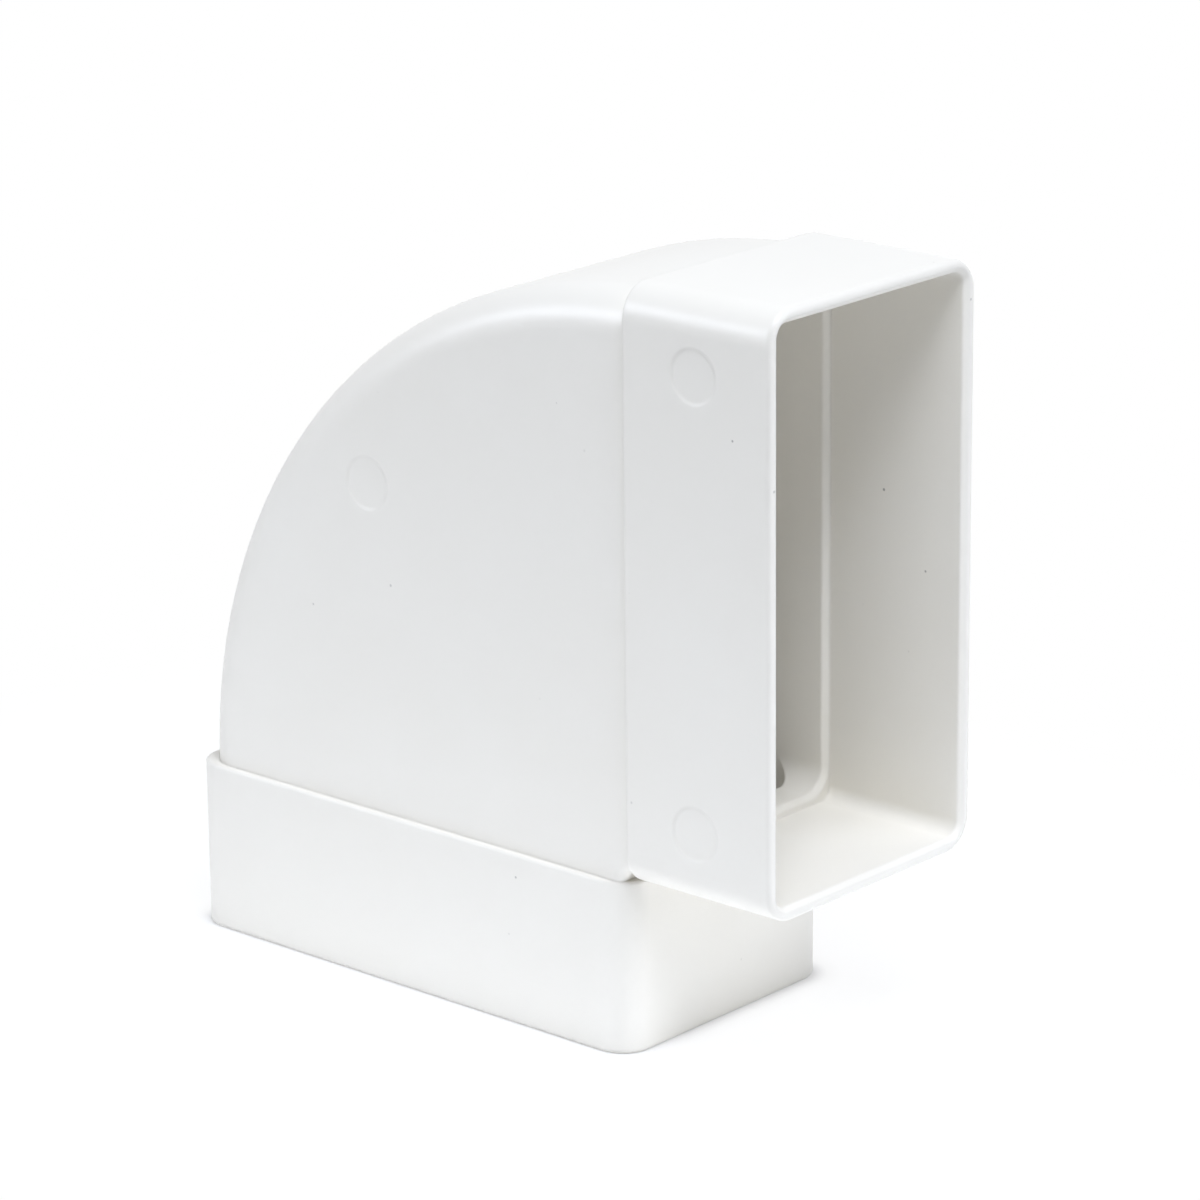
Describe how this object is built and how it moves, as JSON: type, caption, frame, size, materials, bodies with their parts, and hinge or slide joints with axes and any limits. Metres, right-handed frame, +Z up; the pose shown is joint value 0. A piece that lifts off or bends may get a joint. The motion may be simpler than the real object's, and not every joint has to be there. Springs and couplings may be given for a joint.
{
  "type": "flat duct horizontal bend",
  "caption": "Right-angle elbow for flat rectangular ventilation duct, turning in the plane of its wide side, with a stepped push-fit socket at each end.",
  "frame": {"origin": "centre of the lower mouth, in the plane of its rim", "axes": "+Z up out of the lower mouth into the bend, +X out of the side mouth, Y across the thin side of the duct"},
  "size_m": [0.1506, 0.0598, 0.1506],
  "materials": {
    "white_plastic": "satin moulded white"
  },
  "bodies": {
    "root": {"duct_bend": "white_plastic"}
  },
  "joints": []
}
